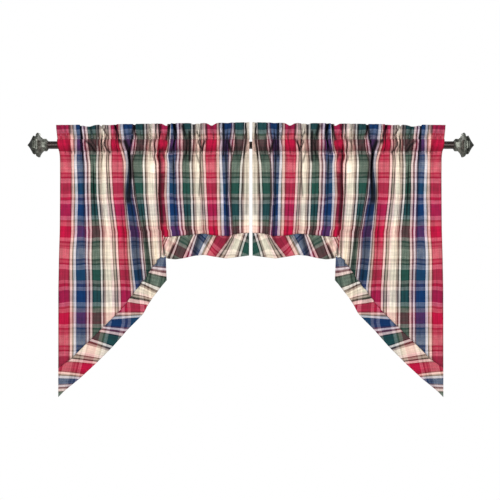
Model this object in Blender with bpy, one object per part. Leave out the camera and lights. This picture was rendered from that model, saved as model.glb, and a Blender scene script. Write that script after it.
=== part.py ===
"""A pair of swag valance panels gathered on a plain round rod with octagonal finials.

Metres, +Z up. The rod's axis runs along X through the origin. The cloth's face looks to -Y and
the wall is on the +Y side. Each panel hangs long at its outer edge and short at its inner edge.
"""

import math

import bmesh
import bpy
import numpy as np
from mathutils import Matrix

for old in list(bpy.data.objects):
    bpy.data.objects.remove(old, do_unlink=True)

MM = 0.001
SIDES = {"left": -1, "right": 1}

# Rod and finials
ROD_RADIUS = 12.7 * MM
ROD_HALF_LENGTH = 673.3 * MM
ROD_SEGMENTS = 48
FINIAL_GAP = 0.3 * MM
FINIAL_SIDES = 8
CRISP_ANGLE = 32.0
MERGE_DISTANCE = 0.01 * MM

# One octagonal finial from the rod outwards: distance from its inner face and flat-to-centre size
FINIAL_PROFILE = [
    # (out, reach) in millimetres
    (0.0, 14.0),
    (4.5, 19.6),
    (6.0, 20.2),
    (12.0, 20.2),
    (13.2, 19.4),
    (16.0, 20.6),
    (20.5, 24.6),
    (24.5, 29.6),
    (27.5, 34.8),
    (29.2, 39.4),
    (34.0, 39.8),
    (38.2, 35.4),
    (38.9, 29.2),
    (43.4, 28.6),
    (45.0, 30.2),
    (48.2, 30.2),
    (53.2, 21.6),
    (59.6, 11.4),
    (65.6, 3.8),
    (68.8, 0.5),
]

# Cloth
CLOTH = 1.5 * MM
HEADER_CLOTH = 3.0 * MM
SEAM_GAP = 0.5 * MM
CLOTH_WIDTH = 800.0
INNER_EDGE = 5.3
HEADER_LOW = 66.8
HEADER_HIGH = 75.5
UPPER_SEAM = 20.0
LOWER_SEAM = -22.0
SLEEVE_TOP = 18.0
SLEEVE_BOTTOM = -20.0
SLEEVE_ROWS = (9.0, -10.0)
SLEEVE_REACH = 16.4
SKIRT_ROWS = (0.07, 0.19, 0.38, 0.66, 1.0)
BORDER_ROWS = (0.0, 0.5, 1.0)

# Heights in millimetres above the rod's axis at which the folds and the outer edge are given
LEVELS = ("head", "rod", "neck", "waist", "hip", "thigh", "low", "tail")
LEVEL_HEIGHT = (64.0, 0.0, -60.0, -166.0, -300.0, -365.0, -482.0, -600.0)
OUTER_EDGE = (643.0, 637.5, 633.5, 633.5, 634.5, 636.8, 639.0, 639.0)

# Broad soft waves of the skirt, which grow from the rod down
BILLOW_FULL = 330.0
BILLOWS = [
    # (length, depth, start) in millimetres of flat cloth
    (212, 4.5, 40),
    (118, 2.0, 0),
]

# The folds across one panel, from its outer edge inwards, in millimetres of flat cloth.
# A fold starts `lead` before its middle and ends `trail` after it. The last columns are its
# depth at each level. `dip` is how far the header's top edge sinks there.
FOLD_COLUMNS = ("middle", "lead", "trail", "dip") + LEVELS
FOLDS = [
    (78, 18, 18, 4, 12, 12, 12, 12, 10, 8, 2, 0),
    (128, 16, 16, 8, 7, 7, 8, 6, 4, 1, 0, 0),
    (158, 12, 12, 6, 7, 8, 7, 6, 4, 1, 0, 0),
    (186, 16, 18, 6, 10, 9, 11, 9, 9, 8, 4, 2),
    (238, 15, 15, 5, 11, 10, 6, 8, 8, 8, 3, 0),
    (285, 24, 24, 1, 6, 13, 18, 16, 15, 16, 2, 0),
    (324, 14, 14, 2, 10, 10, 9, 10, 10, 10, 1, 0),
    (352, 13, 13, 2, 8, 9, 5, 9, 10, 10, 2, 0),
    (386, 14, 14, 1, 5, 8, 5, 4, 7, 10, 3, 0),
    (430, 16, 22, 11, 10, 10, 11, 14, 12, 8, 0, 0),
    (464, 12, 13, 2, 9, 9, 8, 8, 8, 8, 0, 0),
    (495, 18, 18, -1, 12, 12, 13, 14, 13, 13, 0, 0),
    (530, 13, 13, 2, 3, 6, 2, 3, 4, 4, 0, 0),
    (563, 14, 14, -2, 7, 7, 7, 8, 8, 8, 0, 0),
    (597, 18, 18, 6, 12, 12, 12, 9, 8, 8, 0, 0),
    (630, 13, 13, 10, 6, 6, 3, 5, 6, 6, 0, 0),
    (658, 13, 13, 3, 4, 6, 2, 3, 4, 4, 0, 0),
    (706, 22, 22, 0, 13, 13, 16, 16, 15, 15, 0, 0),
    (743, 14, 14, 1, 9, 8, 8, 9, 10, 10, 0, 0),
    (788, 24, 30, 0, 15, 13, 12, 8, 8, 8, 0, 0),
]

# Where the body cloth is cut: flat distance from the outer edge and drop below the rod's axis
CUT_LINE = [
    # (flat, drop) in millimetres
    (0, 741),
    (39, 713),
    (96, 656),
    (146, 608),
    (208, 547),
    (265, 482),
    (321, 434),
    (361, 399),
    (390, 377),
    (412, 367),
    (420, 337),
    (428, 307),
    (470, 304),
    (540, 299),
    (600, 294),
    (650, 301),
    (705, 302),
    (745, 295),
    (800, 292),
]
SHORT_DROP = 310.0
SLANT_END = 412
CORNER = 420
LEVEL_START = 428
BROAD_LEG = 16
COLUMN_SPACING = 5.5

# Lower edge of each border: distance from the middle of the rod and drop below its axis
SLANT_HEM = [
    # (across, drop) in millimetres
    (639.5, 836),
    (621, 817),
    (568, 774),
    (515, 725),
    (461, 671),
    (408, 611),
    (382, 585),
    (357, 559),
    (345, 532),
    (315, 485),
    (291, 459),
    (286, 447),
]
LEVEL_HEM = [
    # (across, drop, forward) in millimetres
    (279, 376, -4),
    (250, 379, -9),
    (222, 375, -6),
    (188, 367, 5),
    (155, 364, 7),
    (122, 370, -3),
    (82, 376, -9),
    (50, 372, -2),
    (5.8, 366, 5),
]
SLANT_SWAY = 4.0
SLANT_WAVE = 150.0
HEM_FREEDOM = 0.45
HEM_EASE = 0.8
HEM_TURN = 0.6


def material(name, colour, roughness, metallic=0.0):
    finish = bpy.data.materials.new(name)
    finish.use_nodes = True
    surface = finish.node_tree.nodes["Principled BSDF"]
    surface.inputs["Base Color"].default_value = (*colour, 1.0)
    surface.inputs["Roughness"].default_value = roughness
    surface.inputs["Metallic"].default_value = metallic
    return finish


def add_object(name, points, faces, finish):
    """Makes one closed piece from its corner points and faces, all facing outwards."""
    mesh = bpy.data.meshes.new(name)
    mesh.from_pydata([tuple(p) for p in points], [], faces)
    shape = bmesh.new()
    shape.from_mesh(mesh)
    bmesh.ops.recalc_face_normals(shape, faces=shape.faces)
    shape.to_mesh(mesh)
    shape.free()
    mesh.materials.append(finish)
    piece = bpy.data.objects.new(name, mesh)
    bpy.context.scene.collection.objects.link(piece)
    return piece


# ---- Folds. Each fold is a sine-generated curve, so the cloth keeps its length through it.

STEEPEST_TURN = 1.97
TURN_STEPS = 200
FLAT_STEP = 1.0
TURNS = np.linspace(0.0, STEEPEST_TURN, TURN_STEPS)
HALF_WAVE = np.sin(np.pi * (np.arange(TURN_STEPS) + 0.5) / TURN_STEPS)
TURN_DEPTH = np.array([np.mean(np.sin(turn * HALF_WAVE)) for turn in TURNS])
FLAT = np.arange(0.0, CLOTH_WIDTH + 0.5 * FLAT_STEP, FLAT_STEP)


def turn_for(depth, leg):
    """Steepest angle of a fold's leg of this length that reaches this depth."""
    return float(np.interp(depth / leg, TURN_DEPTH, TURNS))


def level_path(level):
    """Distance across, depth, slope and fold envelope along the cloth at one level."""
    slope = np.zeros_like(FLAT)
    middles = []
    depths = []
    for row in FOLDS:
        fold = dict(zip(FOLD_COLUMNS, row))
        depth = fold[level]
        middle = fold["middle"]
        middles.append(middle)
        depths.append(depth)
        into = (FLAT - middle + fold["lead"]) / fold["lead"]
        out_of = (FLAT - middle) / fold["trail"]
        going_in = (into >= 0) & (into < 1)
        coming_out = (out_of >= 0) & (out_of < 1)
        slope[going_in] += turn_for(depth, fold["lead"]) * np.sin(np.pi * into[going_in])
        slope[coming_out] -= turn_for(depth, fold["trail"]) * np.sin(np.pi * out_of[coming_out])
    step = 0.5 * (slope[1:] + slope[:-1])
    across = np.concatenate([[0.0], np.cumsum(np.cos(step))])
    depth = np.concatenate([[0.0], np.cumsum(np.sin(step))])
    envelope = np.interp(FLAT, middles, depths)
    return across, depth, slope, envelope


def build_paths():
    """Cloth path at every level, each stretched or eased to end at the inner edge."""
    paths = []
    for level, height, outer in zip(LEVELS, LEVEL_HEIGHT, OUTER_EDGE):
        across, depth, slope, envelope = level_path(level)
        held = 0 if height > -SHORT_DROP else LEVEL_START
        reached = across[held]
        eased = (outer - INNER_EDGE - reached) / (across[-1] - reached)
        across[held:] = reached + (across[held:] - reached) * eased
        paths.append((outer - across, depth, slope, envelope))
    return [np.array(rows) for rows in zip(*paths)]


PATH_ACROSS, PATH_DEPTH, PATH_SLOPE, PATH_ENVELOPE = build_paths()


def at(table, flat, height):
    """Reads one path table between its levels."""
    heights = np.array(LEVEL_HEIGHT)
    column = np.array([np.interp(flat, FLAT, row) for row in table])
    return float(np.interp(height, heights[::-1], column[::-1]))


def billow(flat, height):
    """How far the skirt sways off its plane, nothing above the lower seam."""
    grown = min(max((LOWER_SEAM - height) / BILLOW_FULL, 0.0), 1.0)
    sway = 0.0
    for length, depth, start in BILLOWS:
        sway += depth * math.sin(2.0 * math.pi * (flat - start) / length)
    return grown * sway


def hang(flat, height, gather=0.5):
    """Point and facing of the cloth `flat` millimetres in from the outer edge.

    `gather` says which part of the folds stays in line: 0 their fronts, 1 their backs.
    """
    across = at(PATH_ACROSS, flat, height)
    depth = at(PATH_DEPTH, flat, height) - gather * at(PATH_ENVELOPE, flat, height)
    depth += billow(flat, height)
    slope = at(PATH_SLOPE, flat, height)
    point = np.array([across, depth, height])
    facing = np.array([math.sin(slope), math.cos(slope), 0.0])
    return point, facing


def header_top(flat):
    """Height of the header's top edge, which sinks where it folds."""
    height = HEADER_LOW + (HEADER_HIGH - HEADER_LOW) * flat / CLOTH_WIDTH
    for row in FOLDS:
        fold = dict(zip(FOLD_COLUMNS, row))
        reach = 0.5 * (fold["lead"] + fold["trail"])
        height -= fold["dip"] * math.exp(-(((flat - fold["middle"]) / reach) ** 2))
    return height


def cut_height(flat):
    flats, drops = zip(*CUT_LINE)
    return -float(np.interp(flat, flats, drops))


def columns_between(start, end):
    """Flat positions of the mesh columns: each fold's ends and middle, and broad folds' legs."""
    marks = [(float(start), 0), (float(end), 0)]
    marks += [(float(flat), 0) for flat in (SLANT_END, CORNER, LEVEL_START)]
    for row in FOLDS:
        fold = dict(zip(FOLD_COLUMNS, row))
        middle = fold["middle"]
        marks.append((float(middle), 0))
        for leg in (-fold["lead"], fold["trail"]):
            marks.append((float(middle + leg), 1))
            if abs(leg) >= BROAD_LEG:
                marks.append((middle + 0.5 * leg, 1))
    kept = []
    for mark, rank in sorted(marks, key=lambda pair: (pair[1], pair[0])):
        inside = start <= mark <= end
        if inside and all(abs(mark - other) >= COLUMN_SPACING for other in kept):
            kept.append(mark)
    return sorted(kept)


def place(point, side):
    """World point in metres from millimetres measured for the right-hand panel."""
    return (side * point[0] * MM, point[1] * MM, point[2] * MM)


def swag_section(flat):
    """Front, back and sleeve points of one column of a panel, top to bottom."""
    rows = [(header_top(flat), 0.5 * HEADER_CLOTH), (UPPER_SEAM, 0.5 * HEADER_CLOTH)]
    rows += [(height, None) for height in SLEEVE_ROWS]
    rows.append((LOWER_SEAM, 0.5 * HEADER_CLOTH))
    drop = cut_height(flat) - LOWER_SEAM
    rows += [(LOWER_SEAM + drop * part, 0.5 * CLOTH) for part in SKIRT_ROWS]
    front = []
    back = []
    sleeve_front = []
    sleeve_back = []
    half = 0.5 * CLOTH / MM
    for height, thickness in rows:
        if thickness is None:
            near, facing = hang(flat, height, gather=1.0)
            far, facing = hang(flat, height, gather=0.0)
            near[1] -= SLEEVE_REACH
            far[1] += SLEEVE_REACH
            front.append(near - facing * half)
            sleeve_front.append(near + facing * half)
            sleeve_back.append(far - facing * half)
            back.append(far + facing * half)
        else:
            middle, facing = hang(flat, height)
            front.append(middle - facing * thickness / MM)
            back.append(middle + facing * thickness / MM)
    top, facing = hang(flat, SLEEVE_TOP)
    bottom, facing = hang(flat, SLEEVE_BOTTOM)
    sleeve = [top, *sleeve_front, bottom, *reversed(sleeve_back)]
    return front, back, sleeve


def build_swag(name, side, finish):
    """One panel: a header, a sleeve round the rod and the skirt below, in one cloth."""
    sections = [swag_section(flat) for flat in columns_between(0, CLOTH_WIDTH)]
    points = []
    for front, back, sleeve in sections:
        points += [place(p, side) for p in (*front, *back, *sleeve)]
    rows = len(sections[0][0])
    ring = len(sections[0][2])
    stride = 2 * rows + ring

    def f(i, r):
        return i * stride + r

    def b(i, r):
        return i * stride + rows + r

    def s(i, k):
        return i * stride + 2 * rows + k % ring

    faces = []
    for i in range(len(sections) - 1):
        for r in range(rows - 1):
            faces.append((f(i, r), f(i, r + 1), f(i + 1, r + 1), f(i + 1, r)))
            faces.append((b(i, r), b(i + 1, r), b(i + 1, r + 1), b(i, r + 1)))
        for k in range(ring):
            faces.append((s(i, k), s(i + 1, k), s(i + 1, k + 1), s(i, k + 1)))
        faces.append((f(i, 0), f(i + 1, 0), b(i + 1, 0), b(i, 0)))
        last = rows - 1
        faces.append((f(i, last), b(i, last), b(i + 1, last), f(i + 1, last)))
    upper = 1
    lower = 2 + len(SLEEVE_ROWS)
    bottom = 1 + len(SLEEVE_ROWS)
    for i in (0, len(sections) - 1):
        for r in list(range(upper)) + list(range(lower, rows - 1)):
            faces.append((f(i, r), b(i, r), b(i, r + 1), f(i, r + 1)))
        faces.append((f(i, upper), b(i, upper), s(i, 0)))
        faces.append((f(i, lower), s(i, bottom), b(i, lower)))
        for k in range(bottom):
            faces.append((f(i, upper + k), s(i, k), s(i, k + 1), f(i, upper + k + 1)))
            faces.append((b(i, upper + k), b(i, upper + k + 1), s(i, -k - 1), s(i, -k)))
    return add_object(name, points, faces, finish)


def build_strip(name, side, columns, finish):
    """A closed strip of cloth from columns of (middle point, facing) pairs, top to bottom."""
    half = 0.5 * CLOTH / MM
    rows = len(columns[0])
    points = []
    for column in columns:
        points += [place(point - facing * half, side) for point, facing in column]
        points += [place(point + facing * half, side) for point, facing in column]
    faces = []
    last = rows - 1
    for i in range(len(columns) - 1):
        a = i * 2 * rows
        n = a + 2 * rows
        for r in range(last):
            faces.append((a + r, a + r + 1, n + r + 1, n + r))
            faces.append((a + rows + r, n + rows + r, n + rows + r + 1, a + rows + r + 1))
        faces.append((a, n, n + rows, a + rows))
        faces.append((a + last, a + rows + last, n + rows + last, n + last))
    for a in (0, (len(columns) - 1) * 2 * rows):
        for r in range(last):
            faces.append((a + r, a + rows + r, a + rows + r + 1, a + r + 1))
    return add_object(name, points, faces, finish)


def border_column(flat, hem):
    """One column of a border, from the body's cut edge down to the border's own hem."""
    height = cut_height(flat) - SEAM_GAP / MM
    top, facing = hang(flat, height)
    column = []
    for part in BORDER_ROWS:
        ease = part**HEM_EASE
        point = top + (hem - top) * np.array([part, ease, part])
        turned = facing * (1.0 - ease * (1.0 - HEM_FREEDOM)) + np.array([0.0, HEM_TURN * ease, 0.0])
        column.append((point, turned / np.linalg.norm(turned)))
    return column


def slant_columns():
    flats = columns_between(0, SLANT_END)
    start = hang(flats[0], cut_height(flats[0]))[0][0]
    end = hang(flats[-1], cut_height(flats[-1]))[0][0]
    across, drops = zip(*SLANT_HEM)
    columns = []
    for flat in flats:
        seam = hang(flat, cut_height(flat))[0]
        part = (start - seam[0]) / (start - end)
        over = across[0] + (across[-1] - across[0]) * part
        drop = float(np.interp(over, across[::-1], drops[::-1]))
        sway = seam[1] + SLANT_SWAY * math.sin(2.0 * math.pi * flat / SLANT_WAVE)
        columns.append(border_column(flat, np.array([over, sway, -drop])))
    return columns


def level_columns():
    flats = columns_between(LEVEL_START, CLOTH_WIDTH)
    start = hang(flats[0], cut_height(flats[0]))[0][0]
    end = hang(flats[-1], cut_height(flats[-1]))[0][0]
    across, drops, forward = zip(*LEVEL_HEM)
    columns = []
    for flat in flats:
        seam = hang(flat, cut_height(flat))[0]
        part = (start - seam[0]) / (start - end)
        over = across[0] + (across[-1] - across[0]) * part
        drop = float(np.interp(over, across[::-1], drops[::-1]))
        ahead = float(np.interp(over, across[::-1], forward[::-1]))
        columns.append(border_column(flat, np.array([over, ahead, -drop])))
    return columns


def add_turned(name, shape, finish):
    """Turns a bmesh whose axis is X into an object with smooth curves and crisp edges."""
    bmesh.ops.recalc_face_normals(shape, faces=shape.faces)
    mesh = bpy.data.meshes.new(name)
    shape.to_mesh(mesh)
    shape.free()
    mesh.shade_smooth()
    mesh.set_sharp_from_angle(angle=math.radians(CRISP_ANGLE))
    mesh.materials.append(finish)
    piece = bpy.data.objects.new(name, mesh)
    bpy.context.scene.collection.objects.link(piece)
    return piece


def build_rod(finish):
    shape = bmesh.new()
    bmesh.ops.create_cone(
        shape,
        cap_ends=True,
        segments=ROD_SEGMENTS,
        radius1=ROD_RADIUS,
        radius2=ROD_RADIUS,
        depth=2.0 * ROD_HALF_LENGTH,
        matrix=Matrix.Rotation(0.5 * math.pi, 4, "Y"),
    )
    return add_turned("rod", shape, finish)


def build_finial(name, side, finish):
    """An octagonal casting: collar, hollow-sided neck, broad plate, groove and point."""
    shape = bmesh.new()
    corner = 1.0 / math.cos(math.pi / FINIAL_SIDES)
    outline = []
    for out, reach in FINIAL_PROFILE:
        outline.append(shape.verts.new((out * MM, 0.0, reach * corner * MM)))
    edges = [shape.edges.new(pair) for pair in zip(outline, outline[1:])]
    half_side = Matrix.Rotation(math.pi / FINIAL_SIDES, 3, "X")
    bmesh.ops.rotate(shape, verts=outline, matrix=half_side)
    bmesh.ops.spin(
        shape,
        geom=outline + edges,
        axis=(1.0, 0.0, 0.0),
        cent=(0.0, 0.0, 0.0),
        angle=2.0 * math.pi,
        steps=FINIAL_SIDES,
        use_merge=True,
    )
    bmesh.ops.remove_doubles(shape, verts=shape.verts, dist=MERGE_DISTANCE)
    bmesh.ops.holes_fill(shape, edges=shape.edges, sides=FINIAL_SIDES)
    finial = add_turned(name, shape, finish)
    finial.location.x = side * (ROD_HALF_LENGTH + FINIAL_GAP)
    finial.rotation_euler.z = 0.0 if side > 0 else math.pi
    return finial


SWAG_COLOUR = (0.42, 0.10, 0.13)
BORDER_COLOUR = (0.16, 0.20, 0.28)
PALE_BORDER_COLOUR = (0.28, 0.30, 0.22)
ROD_COLOUR = (0.030, 0.022, 0.018)
FINIAL_COLOUR = (0.16, 0.165, 0.155)
COTTON_ROUGHNESS = 0.9

rod_finish = material("rod_bronze", ROD_COLOUR, roughness=0.32, metallic=0.8)
finial_finish = material("finial_pewter", FINIAL_COLOUR, roughness=0.42, metallic=0.85)
build_rod(rod_finish)
for hand, side in SIDES.items():
    swag_finish = material(hand + "_swag_plaid", SWAG_COLOUR, COTTON_ROUGHNESS)
    slant_finish = material(hand + "_slant_plaid", BORDER_COLOUR, COTTON_ROUGHNESS)
    level_finish = material(hand + "_level_plaid", PALE_BORDER_COLOUR, COTTON_ROUGHNESS)
    build_swag(hand + "_swag", side, swag_finish)
    build_strip(hand + "_slant_border", side, slant_columns(), slant_finish)
    build_strip(hand + "_level_border", side, level_columns(), level_finish)
    build_finial(hand + "_finial", side, finial_finish)
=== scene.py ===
# %% [markdown]
# # A pair of plaid swag panels on a rod
#
# Two cotton panels are gathered on a round rod. Each hangs long at its outer edge and short at
# its inner edge, and a narrow border of the same cloth, cut across the bias, edges it below.
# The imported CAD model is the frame: every piece made here sits where its CAD node sits.

# %% Load the frame
import math

import bmesh
import bpy
import numpy as np
from mathutils import Matrix, Vector


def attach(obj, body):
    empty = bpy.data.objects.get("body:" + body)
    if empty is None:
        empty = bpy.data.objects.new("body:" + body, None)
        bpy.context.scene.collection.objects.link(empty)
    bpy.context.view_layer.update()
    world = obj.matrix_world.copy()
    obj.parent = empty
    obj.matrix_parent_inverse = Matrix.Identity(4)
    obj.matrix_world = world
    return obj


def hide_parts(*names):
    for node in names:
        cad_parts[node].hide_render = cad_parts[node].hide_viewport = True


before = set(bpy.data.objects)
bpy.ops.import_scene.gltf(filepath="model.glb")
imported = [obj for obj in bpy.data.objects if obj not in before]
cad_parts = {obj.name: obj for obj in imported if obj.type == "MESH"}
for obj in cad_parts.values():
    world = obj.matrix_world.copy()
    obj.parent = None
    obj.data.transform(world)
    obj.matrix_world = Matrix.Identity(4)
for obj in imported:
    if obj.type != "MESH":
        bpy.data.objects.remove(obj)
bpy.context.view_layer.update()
MM = 0.001
SIDES = {"left": -1, "right": 1}
print("CAD nodes:", ", ".join(sorted(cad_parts)))

# %% [markdown]
# ## How the cloth is folded
#
# A gathered panel is one flat cloth, 800 mm wide, pushed together on the rod until it covers
# about 630 mm. The spare width stands in folds, which run the whole drop or fade out below the
# rod. Here each fold is a row of a table, in millimetres: where its middle lies on the flat
# cloth, from the outer edge, and how much of the width it takes up at nine heights. Working
# from the flat cloth keeps the woven stripes true: the cloth bends but never stretches.

# %% The folds
CLOTH_WIDTH = 800.0
INNER_EDGE = 5.3
LEVELS = ("head", "rod", "seam", "neck", "waist", "hip", "thigh", "low", "tail")
LEVEL_HEIGHT = (60.0, 0.0, -36.0, -60.0, -166.0, -283.0, -365.0, -482.0, -600.0)
OUTER_EDGE = (647.0, 641.0, 634.5, 634.0, 634.0, 634.5, 637.0, 639.5, 639.5)
TIGHTNESS = (1.5, 1.5, 1.52, 1.5, 1.42, 1.3, 1.2, 1.0, 0.9)
FOLD_COLUMNS = ("middle",) + LEVELS
FOLDS = [
    # (middle, then what the fold takes up at each level)
    (19, -7, -8, 0, 0, -1, 0, 0, 0, 0),
    (34, 0, 0, 0, 0, 0, 0, 3, 0, 0),
    (48, 0, 0, 3, 3, 0, 1, 1, 0, 0),
    (84, 17, 18, 12, 9, 11, 5, 1, 0, 0),
    (128, 1, 3, 6, 11, 11, 3, 1, 1, 0),
    (164, 7, 8, 7, 7, 5, 3, 2, 0, 0),
    (188, 10, 10, 9, 9, 6, 4, 3, 0, 0),
    (232, 12, 11, 2, -4, 1, 7, 6, 4, 2),
    (256, 6, 2, 4, 6, 14, 9, 8, 4, 0),
    (286, 0, 10, 26, 28, 12, 4, 6, 8, 10),
    (314, 14, 4, 6, 12, 12, 14, 5, 5, 5),
    (338, 0, 6, 0, -3, 2, 10, 15, 15, 15),
    (376, 8, 9, 6, 0, 0, 2, 6, 10, 10),
    (402, 8, 11, 16, 14, 13, 15, 12, 8, 8),
    (427, 6, 5, 11, 13, 21, 17, 12, 0, 0),
    (464, 12, 14, 9, 9, 4, 9, 7, 0, 0),
    (494, 16, 11, 4, 12, 9, 6, 6, 0, 0),
    (543, 2, 3, 6, 5, 4, 8, 8, 0, 0),
    (578, 4, 4, 3, 2, 3, 3, 3, 0, 0),
    (598, 9, 9, 10, 9, 6, 5, 4, 0, 0),
    (614, 4, 4, 4, 3, 3, 2, 2, 0, 0),
    (646, 1, 1, 0, 0, 3, 6, 6, 0, 0),
    (674, 3, 3, 3, 3, 0, 0, 0, 0, 0),
    (702, 2, 11, 11, 13, 18, 14, 12, 0, 0),
    (731, 10, 3, 6, 12, 15, 13, 8, 0, 0),
    (752, 0, 0, 0, -2, -2, 6, 8, 0, 0),
    (778, 16, 15, 9, 5, 0, 0, 2, 0, 0),
]
# Folds named by their middles: how much painted shade the paler ones get, and the one whose lips
# stand open
FOLD_DARKNESS = {84: 0.55, 376: 0.4, 402: 0.4, 702: 0.55, 731: 0.6}
WIDE_FOLD = 286
folds = [dict(zip(FOLD_COLUMNS, row)) for row in FOLDS]
for level, outer in zip(LEVELS, OUTER_EDGE):
    taken = sum(fold[level] for fold in folds)
    print(level, "folds take", taken, "mm and leave", CLOTH_WIDTH - taken, "for", outer - INNER_EDGE)

# %% [markdown]
# ## From flat cloth to hung cloth
#
# A fold is drawn by its slope along the cloth rather than by points, so its length never
# changes: steep beside the narrow valley, and easing off to nothing on the round crest of each
# lip. Adding up the cosines of the slope gives how far across the rod the cloth gets, and
# adding up the sines gives how deep it goes. Near a right angle the groove goes dark, and the
# fold depth kept here also sets the shade painted into it. The paths are kept as tables, and
# `hang` then reads any place on the flat cloth from them.

# %% Cloth paths
UPPER_SEAM = 20.0
LOWER_SEAM = -22.0
HOLD_BELOW = -283.0
LEVEL_START = 428.0
FLAT_STEP = 0.5
FLAT = np.arange(0.0, CLOTH_WIDTH + 0.1, FLAT_STEP)
HEIGHT_STEP = 4.0
HEIGHTS = np.arange(92.0, -760.0, -HEIGHT_STEP)
HEIGHT_BLEND = 6
ROUND_LIPS = 0.7
SHARP_LIPS = 0.3
VALLEY = 0.12
LEG_STEPS = 200
ALONG_LEG = (np.arange(LEG_STEPS) + 0.5) / LEG_STEPS
EASED_LEG = 19.0
FOLD_WANDER = 3.0
WANDER_TURN = 1.3
WANDER_SEED = 3


def bell(distance, reach):
    """1 in the middle, falling off smoothly over `reach`."""
    return np.exp(-((distance / reach) ** 2))


def running(values):
    """Running sum, starting from nothing."""
    return np.concatenate([[0.0], np.cumsum(values)])


def softened(table, times):
    """Blends each row of a table with its neighbours, since cloth has no corners."""
    for _ in range(times):
        padded = np.concatenate([table[:1], table, table[-1:]])
        table = 0.25 * padded[:-2] + 0.5 * padded[1:-1] + 0.25 * padded[2:]
    return table


def down_cloth(values):
    """One value for each row of the path tables, from one at each level."""
    return np.interp(-HEIGHTS, -np.array(LEVEL_HEIGHT), values)


def leg_slope(along, tightness, lips):
    """Slope along a leg of a fold, from the valley (0) to the crest of its lip (1)."""
    return tightness * np.tanh(along / VALLEY) * np.maximum(1.0 - along**2, 0.0) ** lips


def path_at(takes, middles, tightness, outer, held):
    """Distance across, depth, slope and fold depth along the cloth at one height.

    From the column `held` on, the cloth is fitted in before the inner edge.
    """
    slope = np.zeros_like(FLAT)
    taken = np.zeros_like(FLAT)
    depths = []
    for take, middle, fold in zip(takes, middles, folds):
        lips = SHARP_LIPS if fold["middle"] == WIDE_FOLD else ROUND_LIPS
        turned = leg_slope(ALONG_LEG, tightness, lips)
        leg = max(0.5 * take / (1.0 - np.cos(turned).mean()), 0.0)
        depths.append(leg * np.sin(turned).mean())
        if take < 0:
            taken += take * np.clip((FLAT - middle) / EASED_LEG * 0.5 + 0.5, 0.0, 1.0)
        if leg > 0:
            along = (FLAT - middle) / leg
            turned = leg_slope(np.minimum(np.abs(along), 1.0), tightness, lips)
            hidden = np.cumsum(1.0 - np.cos(turned))
            taken += take * hidden / max(hidden[-1], 1e-9)
            slope -= np.sign(along) * turned
    across = FLAT - taken
    depth = running(np.sin(0.5 * (slope[1:] + slope[:-1]))) * FLAT_STEP
    fitted = (outer - INNER_EDGE - across[held]) / (across[-1] - across[held])
    across[held:] = across[held] + (across[held:] - across[held]) * fitted
    return outer - across, depth, slope, np.interp(FLAT, middles, depths)


def cloth_tables():
    """The path tables, one row for every few millimetres of height."""
    takes = np.array([down_cloth([fold[level] for level in LEVELS]) for fold in folds])
    takes = softened(takes.T, HEIGHT_BLEND)
    above = np.clip((HEIGHTS - LOWER_SEAM) / (UPPER_SEAM - LOWER_SEAM), 0.0, 2.0)
    wander = np.random.default_rng(WANDER_SEED).normal(0.0, FOLD_WANDER, len(folds))
    middles = np.array([fold["middle"] for fold in folds])
    middles = middles + np.outer(np.sin(WANDER_TURN * above), wander)
    outer = softened(down_cloth(OUTER_EDGE), HEIGHT_BLEND)
    tightness = down_cloth(TIGHTNESS)
    rows = []
    for k, height in enumerate(HEIGHTS):
        held = 0 if height > HOLD_BELOW else int(LEVEL_START / FLAT_STEP)
        rows.append(path_at(takes[k], middles[k], tightness[k], outer[k], held))
    return [np.array(table) for table in zip(*rows)]


ACROSS, DEPTH, SLOPE, ENVELOPE = cloth_tables()
print("paths", ACROSS.shape, "reach", round(float(ACROSS.max()), 1), "mm from the middle")

# %% Hanging a place
# Low down, where nothing holds the cloth, it also sways in two long billows
BILLOW_FULL = 330.0
BILLOWS = [(212, 4.5, 40), (118, 2.0, 0)]  # (length, depth, start)


def read(table, flat, height):
    """Reads a path table between its rows and columns."""
    i = np.clip(flat, 0.0, FLAT[-1] - 1e-6) / FLAT_STEP
    k = np.clip((HEIGHTS[0] - height) / HEIGHT_STEP, 0.0, len(HEIGHTS) - 1.001)
    i0, k0 = i.astype(int), k.astype(int)
    right, down = i - i0, k - k0
    upper = table[k0, i0] * (1 - right) + table[k0, i0 + 1] * right
    lower = table[k0 + 1, i0] * (1 - right) + table[k0 + 1, i0 + 1] * right
    return upper * (1 - down) + lower * down


def hang(flat, height, gather=0.5):
    """Points of the hung cloth, for the right-hand panel, and where its back faces.

    `gather` says which part of the folds stays in line: 0 their fronts, 1 their backs.
    """
    given = [np.asarray(value, float) for value in (flat, height, gather)]
    flat, height, gather = np.broadcast_arrays(*given)
    grown = np.clip((LOWER_SEAM - height) / BILLOW_FULL, 0.0, 1.0)
    turns = [2 * np.pi * (flat - start) / length for length, _, start in BILLOWS]
    sway = sum(depth * np.sin(turn) for (_, depth, _), turn in zip(BILLOWS, turns))
    depth = read(DEPTH, flat, height) - gather * read(ENVELOPE, flat, height) + grown * sway
    slope = read(SLOPE, flat, height)
    points = np.stack([read(ACROSS, flat, height), depth, height], axis=-1)
    return points, np.stack([np.sin(slope), np.cos(slope), np.zeros_like(slope)], axis=-1)


outer_corner = hang(0.0, LEVEL_HEIGHT[-1])[0]
print("outer edge at", LEVEL_HEIGHT[-1], "mm hangs at", np.round(outer_corner, 1).tolist())

# %% [markdown]
# ## Where the cloth ends
#
# The header's top edge sinks in a soft notch wherever a fold pulls at it. Below, the body is
# cut long at the outer edge, up a slant and then almost level. Both lines are tables over the
# flat cloth, as a maker marks them before gathering.

# %% Header top and cut line
HEADER_LOW = 66.8
HEADER_HIGH = 75.5
SLANT_END = 412.0
NOTCHES = [
    # (flat distance, dip of the header's top edge, reach)
    (84, 3, 8), (116, 7, 22), (163, 6, 7), (205, 3, 26), (312, 2, 8), (447, 8, 11), (567, 3.5, 8),
    (592, 2.5, 18), (644, 9, 13), (700, 1.5, 10),
]
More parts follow.
